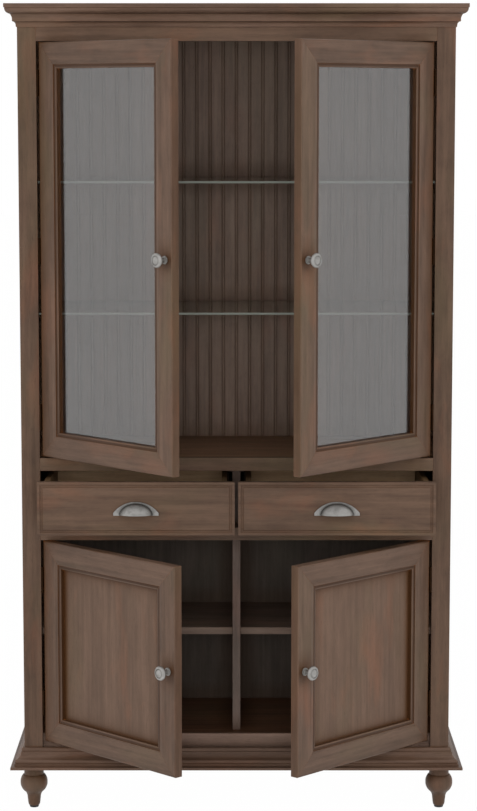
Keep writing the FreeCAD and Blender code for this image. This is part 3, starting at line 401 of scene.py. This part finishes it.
finishes = {
    # the posts take painted light in the hinge gap
    "frameUp": wood("Stained wood upright", "up", stains=stainTones["main"], corner=0.25, paintedGapLight=0.85),
    "edging": wood("Stained wood edging", "across", stains=stainTones["edging"], hollowGlazeAndShade=0.1, corner=0.0,
                   wear=0.1),
    "frameAcross": wood("Stained wood across", "across", stains=stainTones["main"]),
    "railAcross": wood("Stained rail", "across", move=(0.5, 0.2, 0.9), stains=stainTones["rail"]),
    "mouldingAcross": wood("Moulding wood across", "across", move=(0.7, 0.1, 0.4),
                           stains=stainTones["moulding"]),
    "mouldingDeep": wood("Moulding wood front to back", "deep", stains=stainTones["moulding"]),
    "panelUp": wood("Stained wood panel", "up", move=(0.4, 0.7, 0.2), stains=stainTones["panel"],
                    patches=0.5, streaks=0.72, hollowGlazeAndShade=0.85, corner=0.85),
    "sidePanel": wood("Side panel wood", "up", move=(0.4, 0.7, 0.2), stains=stainTones["sidePanel"],
                      patches=0.5, streaks=0.72, hollowGlazeAndShade=0.3, corner=0.05),
    "divider": wood("Divider wood", "up", move=(0.1, 0.6, 0.4), stains=stainTones["divider"], corner=0.3),
    "shelfWood": wood("Shelf wood", "across", stains=stainTones["shelf"], hollowGlazeAndShade=0.4, corner=0.2, wear=0.1),
    "hutchFloor": wood("Hutch floor wood", "across", move=(0.2, 0.9, 0.3), stains=stainTones["hutchFloor"],
                       wear=0.1),
    "turned": wood("Stained wood turned", "up", move=(1.3, 0.2, 0.5), stains=stainTones["main"],
                   streaks=0.6),
    "inside": wood("Inside wood", "across", stains=stainTones["inside"], wear=0.15),
    "insideFloor": wood("Inside floor wood", "across", stains=stainTones["deep"], wear=0.1),
    "beadboard": wood("Beadboard", "up", stains=stainTones["inside"], streaks=0.8, corner=0.3, wear=0.1),
    "lowerBack": wood("Lower back board", "up", stains=stainTones["lowerBack"], hollowGlazeAndShade=0.3, corner=0.3,
                      wear=0.0, gloss=0.6),
    "boxWood": wood("Drawer side wood", "deep", stains=stainTones["side"], hollowGlazeAndShade=0.3, wear=0.1, gloss=0.55),
    "boxAcross": wood("Drawer box wood across", "across", stains=stainTones["box"], hollowGlazeAndShade=0.3, corner=0.2,
                      wear=0.1, gloss=0.55),
    "doorGlass": glass("Door glass", (253, 251, 250), 1.72),
    "shelfGlass": glass("Shelf glass", (224, 242, 234), 1.52),
    "nickel": metal("Satin nickel", (172, 170, 167), (64, 61, 57), (188, 186, 182), 0.55, 0.35, corner=0.8),
    "knobNickel": metal("Satin nickel knob", (177, 175, 172), (84, 81, 74), (192, 190, 186), 0.55, 0.35,
                        corner=0.45),
    "bronze": metal("Dark bronze", (58, 40, 26), (36, 23, 13), (78, 56, 38), 0.6, 0.6),
    "slideSteel": metal("Slide steel", (168, 170, 172), (110, 112, 114), (200, 200, 200), 0.36, 0.3),
    "pinSteel": metal("Pin steel", (176, 177, 178), (120, 120, 120), (210, 210, 210), 0.34, 0.2),
    "nylon": plastic("Black nylon", (26, 25, 24), 0.5),
    "groundEdge": plastic("Ground glass edge", (116, 120, 110), 0.3),
}
# each door's members have finishes of their own, turned with the door
doorCrease = {"fromEdge": 0.0534, "reach": 0.0036, "core": 0.0016, "strength": 0.85}
# door members take painted shade in corners and painted light in the hinge gap
doorStainAndShade = {"stains": stainTones["door"], "corner": 0.8, "paintedGapLight": 0.85}
for doorName, turn in doorTurns.items():
    shown = doorName.replace("_", " ")
    outward = 1 if "left" in doorName else -1
    angle = math.radians(turn)
    across = (math.cos(angle), math.sin(angle), 0)
    reaches = [Vector(across).dot(vertex.co) for vertex in nodes[doorName + "_door_stiles"].data.vertices]
    low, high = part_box(doorName + "_door_stiles")
    front = (math.sin(angle), -math.cos(angle), 0)
    stileCrease = dict(doorCrease, front=front, across=across, middle=(min(reaches) + max(reaches)) / 2,
                       half=(max(reaches) - min(reaches)) / 2)
    railCrease = dict(doorCrease, front=front, across=(0, 0, 1), middle=(low.z + high.z) / 2,
                      half=(high.z - low.z) / 2)
    finishes[doorName + "_rails"] = wood("Stained rail " + shown, "across", -turn, crease=railCrease,
                                         **doorStainAndShade)
    finishes[doorName + "_stiles"] = wood(
        "Stained stile " + shown, "up", move=(0.9, 0.3, 0.6), crease=stileCrease,
        edgeWay=tuple(outward * value for value in across), **doorStainAndShade)

nodeFinish = {
    "left_front_post": "frameUp", "right_front_post": "frameUp",
    "left_side_panel": "sidePanel", "right_side_panel": "sidePanel",
    "base_rail": "mouldingAcross", "floor_front_edging": "edging",
    "drawer_rail": "railAcross", "hutch_rail": "railAcross",
    "top_rail": "frameAcross", "crown_front": "mouldingAcross", "plinth_front": "mouldingAcross",
    "crown_returns": "mouldingDeep", "plinth_returns": "mouldingDeep", "turned_feet": "turned",
    "base_platform": "inside", "cabinet_floor": "insideFloor", "hutch_floor": "hutchFloor",
    "lower_shelves": "shelfWood", "top_panel": "inside", "center_divider": "divider",
    "beadboard_back": "beadboard", "lower_back": "lowerBack", "slide_battens": "boxWood",
    "glass_shelves": "shelfGlass", "shelf_pins": "pinSteel", "drawer_slide_channels": "slideSteel",
    "cabinet_hinge_leaves": "bronze", "foot_glides": "nylon",
}
for side in ("left", "right"):
    nodeFinish.update({
        side + "_drawer_front": "frameAcross", side + "_drawer_sides": "boxWood",
        side + "_drawer_bottom": "boxAcross", side + "_drawer_back": "boxAcross",
        side + "_drawer_pull": "nickel", side + "_drawer_runners": "slideSteel"})
for doorName in doorTurns:
    nodeFinish.update({
        doorName + "_door_stiles": doorName + "_stiles", doorName + "_door_rails": doorName + "_rails",
        doorName + "_door_knob": "knobNickel", doorName + "_door_hinges": "bronze"})
for side in ("left", "right"):
    nodeFinish["upper_" + side + "_door_glass"] = "doorGlass"
    nodeFinish["lower_" + side + "_door_panel"] = "panelUp"

for name, piece in nodes.items():
    piece.data.materials.clear()
    piece.data.materials.append(finishes[nodeFinish[name]])

# arrises: boards are sanded to a small round
print("eased edges")
easedEdges = {"boardRound": 0.0006, "doorRound": 0.0004, "mouldingRound": 0.0004, "steps": 2,
              "sharper": 32, "mergeWithin": 0.00001}


def easeEdges(piece, radius):
    weld = piece.modifiers.new("Join facets", "WELD")
    weld.merge_threshold = easedEdges["mergeWithin"]
    bevel = piece.modifiers.new("Eased edges", "BEVEL")
    bevel.width = radius
    bevel.segments = easedEdges["steps"]
    bevel.limit_method = "ANGLE"
    bevel.angle_limit = math.radians(easedEdges["sharper"])
    bevel.use_clamp_overlap = False


boards = ["left_front_post", "right_front_post", "base_rail", "floor_front_edging", "drawer_rail",
          "hutch_rail", "top_rail", "cabinet_floor", "hutch_floor", "lower_shelves", "center_divider"]
boards += [side + "_drawer_" + part for side in ("left", "right") for part in ("front", "sides", "back")]
for name in boards:
    easeEdges(nodes[name], easedEdges["boardRound"])
for doorName in doorTurns:
    easeEdges(nodes[doorName + "_door_stiles"], easedEdges["doorRound"])
    easeEdges(nodes[doorName + "_door_rails"], easedEdges["doorRound"])
for name in ("crown_front", "crown_returns", "plinth_front", "plinth_returns"):
    easeEdges(nodes[name], easedEdges["mouldingRound"])


# ground and rounded long edges of the glass shelves
print("glass edges")
glassEdge = {"thick": 0.005, "bulge": 0.0006, "fullness": 0.5, "points": 7, "endGap": 0.0005}


def groundEdge(name, low, high, level):
    # a thin rounded strip along the front edge and one along the back edge
    build = bmesh.new()
    for edge, way in ((low.y, -1), (high.y, 1)):
        rings = []
        for across in (low.x + glassEdge["endGap"], high.x - glassEdge["endGap"]):
            ring = []
            for number in range(glassEdge["points"]):
                share = number / (glassEdge["points"] - 1)
                out = glassEdge["bulge"] * math.sin(math.pi * share) ** glassEdge["fullness"]
                ring.append(build.verts.new((across, edge + way * out, level + glassEdge["thick"] * share)))
            rings.append(ring)
        for number in range(glassEdge["points"]):
            after = (number + 1) % glassEdge["points"]
            build.faces.new((rings[0][number], rings[0][after], rings[1][after], rings[1][number]))
        build.faces.new(rings[0])
        build.faces.new(rings[1][::-1])
    bmesh.ops.recalc_face_normals(build, faces=build.faces)
    mesh = bpy.data.meshes.new(name)
    build.to_mesh(mesh)
    build.free()
    mesh.materials.append(finishes["groundEdge"])
    piece = bpy.data.objects.new(name, mesh)
    bpy.context.scene.collection.objects.link(piece)
    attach(piece, "cabinet")


low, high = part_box("glass_shelves")
groundEdge("low_glass_shelf_edges", low, high, low.z)
groundEdge("high_glass_shelf_edges", low, high, high.z - glassEdge["thick"])


# screws: one head with a cross recess, set on every point and turned the way the point faces
screwHead = {"sides": 28, "topShare": 0.8, "recessShare": 1.15}


def screwTree():
    tree = bpy.data.node_groups.new("Screw heads", "GeometryNodeTree")
    tree.is_modifier = True
    for direction, label, kind in (
            ("INPUT", "Geometry", "Geometry"), ("INPUT", "Head radius", "Float"),
            ("INPUT", "Head height", "Float"), ("INPUT", "Recess width", "Float"),
            ("INPUT", "Finish", "Material"), ("OUTPUT", "Geometry", "Geometry")):
        tree.interface.new_socket(name=label, in_out=direction, socket_type="NodeSocket" + kind)
    start = addNode(tree, "NodeGroupInput").outputs
    end = addNode(tree, "NodeGroupOutput").inputs
    head = addNode(tree, "GeometryNodeMeshCone", "head")
    head.inputs["Vertices"].default_value = screwHead["sides"]
    topRadius = maths(tree, "MULTIPLY", start["Head radius"], screwHead["topShare"])
    wire(tree, (start["Head radius"], head.inputs["Radius Bottom"]), (topRadius, head.inputs["Radius Top"]),
         (start["Head height"], head.inputs["Depth"]))
    recess = addNode(tree, "GeometryNodeMeshBoolean", "cross recess", operation="DIFFERENCE",
                     solver="EXACT")
    wire(tree, (head.outputs["Mesh"], recess.inputs["Mesh 1"]))
    long = maths(tree, "MULTIPLY", start["Head radius"], screwHead["recessShare"])
    top = addNode(tree, "ShaderNodeCombineXYZ")
    wire(tree, (start["Head height"], top.inputs["Z"]))
    for first, second in ((long, start["Recess width"]), (start["Recess width"], long)):
        size = addNode(tree, "ShaderNodeCombineXYZ")
        bar = addNode(tree, "GeometryNodeMeshCube", "recess bar")
        lifted = addNode(tree, "GeometryNodeTransform")
        wire(tree, (first, size.inputs["X"]), (second, size.inputs["Y"]),
             (start["Head height"], size.inputs["Z"]), (size.outputs[0], bar.inputs["Size"]),
             (bar.outputs["Mesh"], lifted.inputs["Geometry"]),
             (top.outputs[0], lifted.inputs["Translation"]), (lifted.outputs[0], recess.inputs["Mesh 2"]))
    facing = addNode(tree, "GeometryNodeInputNamedAttribute", data_type="FLOAT_VECTOR")
    facing.inputs["Name"].default_value = "facing"
    turned = addNode(tree, "FunctionNodeAlignRotationToVector", axis="Z")
    copies = addNode(tree, "GeometryNodeInstanceOnPoints")
    real = addNode(tree, "GeometryNodeRealizeInstances")
    finish = addNode(tree, "GeometryNodeSetMaterial")
    wire(tree, (start["Geometry"], copies.inputs["Points"]),
         (recess.outputs["Mesh"], copies.inputs["Instance"]),
         (facing.outputs["Attribute"], turned.inputs["Vector"]),
         (turned.outputs[0], copies.inputs["Rotation"]),
         (copies.outputs[0], real.inputs[0]), (real.outputs[0], finish.inputs["Geometry"]),
         (start["Finish"], finish.inputs["Material"]), (finish.outputs[0], end["Geometry"]))
    return tree


screwHeads = screwTree()


def screws(name, body, spots, sizes, finish):
    # spots are pairs: where a head sits, and the way that it faces
    points = bpy.data.meshes.new(name + " points")
    points.from_pydata([place for place, facing in spots], [], [])
    facings = points.attributes.new("facing", "FLOAT_VECTOR", "POINT")
    for number, (place, facing) in enumerate(spots):
        facings.data[number].vector = facing
    maker = bpy.data.objects.new(name + " points", points)
    bpy.context.scene.collection.objects.link(maker)
    modifier = maker.modifiers.new("Screw heads", "NODES")
    modifier.node_group = screwHeads
    values = {"Head radius": sizes["radius"], "Head height": sizes["height"],
              "Recess width": sizes["recess"], "Finish": finish}
    for socket in screwHeads.interface.items_tree:
        if socket.name in values:
            modifier[socket.identifier] = values[socket.name]
    evaluated = maker.evaluated_get(bpy.context.evaluated_depsgraph_get())
    mesh = bpy.data.meshes.new_from_object(evaluated)
    maker.modifiers.remove(modifier)
    bpy.data.objects.remove(maker)
    piece = bpy.data.objects.new(name, mesh)
    bpy.context.scene.collection.objects.link(piece)
    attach(piece, body)


print("screws")
hingeSizes = {"pinAcross": 0.4452, "pinAlong": -0.023446, "caseFace": 0.0017, "doorFace": 0.0013,
              "rows": (-0.021, 0.0, 0.021), "depths": (0.0080, 0.0130, 0.0080), "half": 0.03,
              "upperLevels": 3, "lowerLevels": 2}
knobScrew = {"across": 0.4227, "behind": 0.0238}
pullScrew = {"apart": 0.032, "above": 0.010}
hingeScrews = {"radius": 0.0026, "height": 0.00014, "recess": 0.0008}
panScrews = {"radius": 0.0040, "height": 0.0020, "recess": 0.0012}
backScrews = {"radius": 0.0032, "height": 0.0014, "recess": 0.0010, "spacing": 0.17, "fromEdge": 0.007}


def turnedPlace(side, angle, across, behind):
    # a place that swings with a door: across from its hinge pin, and behind the pin
    turn = math.radians(angle)
    return (side * hingeSizes["pinAcross"] + math.cos(turn) * across - math.sin(turn) * behind,
            hingeSizes["pinAlong"] + math.sin(turn) * across + math.cos(turn) * behind)


caseSpots = []
for doorName, angle in doorTurns.items():
    side = -1 if "left" in doorName else 1
    turn = math.radians(angle)
    low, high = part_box(doorName + "_door_hinges")
    count = hingeSizes["upperLevels"] if "upper" in doorName else hingeSizes["lowerLevels"]
    doorSpots = []
    for number in range(count):
        spread = high.z - low.z - 2 * hingeSizes["half"]
        level = low.z + hingeSizes["half"] + spread * number / (count - 1)
        for row, depth in zip(hingeSizes["rows"], hingeSizes["depths"]):
            caseSpots.append(((side * (hingeSizes["pinAcross"] + hingeSizes["caseFace"]),
                               hingeSizes["pinAlong"] + depth, level + row), (-side, 0, 0)))
            x, y = turnedPlace(side, angle, side * hingeSizes["doorFace"], depth)
            doorSpots.append(((x, y, level + row), (side * math.cos(turn), side * math.sin(turn), 0)))
    screws(doorName + "_hinge_screws", doorName + "_door", doorSpots, hingeScrews, finishes["bronze"])
    low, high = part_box(doorName + "_door_knob")
    x, y = turnedPlace(side, angle, -side * knobScrew["across"], knobScrew["behind"])
    knobSpot = ((x, y, (low.z + high.z) / 2), (-math.sin(turn), math.cos(turn), 0))
    screws(doorName + "_knob_screw", doorName + "_door", [knobSpot], panScrews, finishes["pinSteel"])
screws("case_hinge_screws", "cabinet", caseSpots, hingeScrews, finishes["bronze"])

for side in ("left", "right"):
    low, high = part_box(side + "_drawer_pull")
    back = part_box(side + "_drawer_front")[1].y
    middle, level = (low.x + high.x) / 2, low.z + pullScrew["above"]
    pullSpots = [((middle + way * pullScrew["apart"], back, level), (0, 1, 0)) for way in (-1, 1)]
    screws(side + "_pull_screws", side + "_drawer", pullSpots, panScrews, finishes["pinSteel"])


def screwedRound(name, node, sizes):
    # heads round the edge of a back board, on its outer face
    low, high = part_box(node)
    left, right = low.x + sizes["fromEdge"], high.x - sizes["fromEdge"]
    foot, head = low.z + sizes["fromEdge"], high.z - sizes["fromEdge"]
    wide = round((right - left) / sizes["spacing"])
    tall = round((head - foot) / sizes["spacing"])
    spots = [((left + (right - left) * n / wide, high.y, level), (0, 1, 0))
             for n in range(wide + 1) for level in (foot, head)]
    spots += [((across, high.y, foot + (head - foot) * n / tall), (0, 1, 0))
              for n in range(1, tall) for across in (left, right)]
    screws(name, "cabinet", spots, sizes, finishes["pinSteel"])


screwedRound("hutch_back_screws", "beadboard_back", backScrews)
screwedRound("lower_back_screws", "lower_back", backScrews)

# camera, floor and light
print("camera and light")
# the lens and its shift are in pixels of a frame that is this many pixels tall
cameraSizes = {"place": (0.0, -5.56455, 1.6304), "down": 7.0775, "sensor": 36, "frameTall": 811,
               "lens": 2455.25, "shift": 2.05}
cameraData = bpy.data.cameras.new("Camera")
camera = bpy.data.objects.new("Camera", cameraData)
camera.location = cameraSizes["place"]
camera.rotation_euler = (math.radians(90 - cameraSizes["down"]), 0, 0)
cameraData.sensor_width = cameraSizes["sensor"]
cameraData.lens = cameraSizes["sensor"] * cameraSizes["lens"] / cameraSizes["frameTall"]
cameraData.shift_x = cameraSizes["shift"] / cameraSizes["frameTall"]
bpy.context.scene.collection.objects.link(camera)
bpy.context.scene.camera = camera

lightSizes = {"sky": 0.62, "aim": (0, 0, 0.9), "sideOut": 4.6, "sideForward": -3.0, "sideUp": 2.6,
              "sideWatts": 110, "sideSize": 3.0, "frontPlace": (0, -5.4, 1.5), "frontWatts": 66,
              "frontSize": 1.6}
floorSizes = {"half": 30.0, "shade": 0.86, "rough": 0.9, "seen": 0.992}
world = bpy.data.worlds.new("Studio")
bpy.context.scene.world = world
world.use_nodes = True
world.node_tree.nodes.clear()
ray = addNode(world.node_tree, "ShaderNodeLightPath")
sky = addNode(world.node_tree, "ShaderNodeBackground")
sky.inputs["Color"].default_value = (1, 1, 1, 1)
ending = addNode(world.node_tree, "ShaderNodeOutputWorld")
seen = maths(world.node_tree, "MAXIMUM", ray.outputs["Is Camera Ray"], maths(
    world.node_tree, "MAXIMUM", ray.outputs["Is Glossy Ray"], ray.outputs["Is Transmission Ray"]))
level = addNode(world.node_tree, "ShaderNodeMapRange")
level.inputs["To Min"].default_value = lightSizes["sky"]
level.inputs["To Max"].default_value = 1.0
wire(world.node_tree, (seen, level.inputs["Value"]), (level.outputs["Result"], sky.inputs["Strength"]),
     (sky.outputs[0], ending.inputs["Surface"]))

half = floorSizes["half"]
floorMesh = bpy.data.meshes.new("Floor")
floorCorners = [(-half, -half, 0), (half, -half, 0), (half, half, 0), (-half, half, 0)]
floorMesh.from_pydata(floorCorners, [], [(0, 1, 2, 3)])
floor = bpy.data.objects.new("Floor", floorMesh)
bpy.context.scene.collection.objects.link(floor)
floorMaterial, tree, shader = newMaterial("Pale floor")
shader.inputs["Base Color"].default_value = (floorSizes["shade"],) * 3 + (1,)
shader.inputs["Roughness"].default_value = floorSizes["rough"]
ray = addNode(tree, "ShaderNodeLightPath")
glow = addNode(tree, "ShaderNodeEmission")
both = addNode(tree, "ShaderNodeMixShader")
mirrored = maths(tree, "MAXIMUM", ray.outputs["Is Glossy Ray"], ray.outputs["Is Transmission Ray"])
seen = maths(tree, "MULTIPLY", floorSizes["seen"], maths(
    tree, "MAXIMUM", ray.outputs["Is Camera Ray"], mirrored))
ending = next(node for node in tree.nodes if node.type == "OUTPUT_MATERIAL")
wire(tree, (seen, both.inputs[0]), (shader.outputs[0], both.inputs[1]), (glow.outputs[0], both.inputs[2]),
     (both.outputs[0], ending.inputs["Surface"]))
floorMesh.materials.append(floorMaterial)
floor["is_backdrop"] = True


def softBox(name, place, size, watts):
    data = bpy.data.lights.new(name, "AREA")
    data.shape = "SQUARE"
    data.size = size
    data.energy = watts
    lamp = bpy.data.objects.new(name, data)
    lamp.location = place
    lamp.rotation_euler = (Vector(lightSizes["aim"]) - Vector(place)).to_track_quat("-Z", "Y").to_euler()
    lamp.visible_glossy = False  # no bright squares in the metal
    lamp.visible_transmission = False  # nor in the glass
    bpy.context.scene.collection.objects.link(lamp)


for name, way in (("Left light", -1), ("Right light", 1)):
    softBox(name, (way * lightSizes["sideOut"], lightSizes["sideForward"], lightSizes["sideUp"]),
            lightSizes["sideSize"], lightSizes["sideWatts"])
softBox("Front light", lightSizes["frontPlace"], lightSizes["frontSize"], lightSizes["frontWatts"])

bpy.context.scene.view_settings.view_transform = "Standard"
low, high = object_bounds()
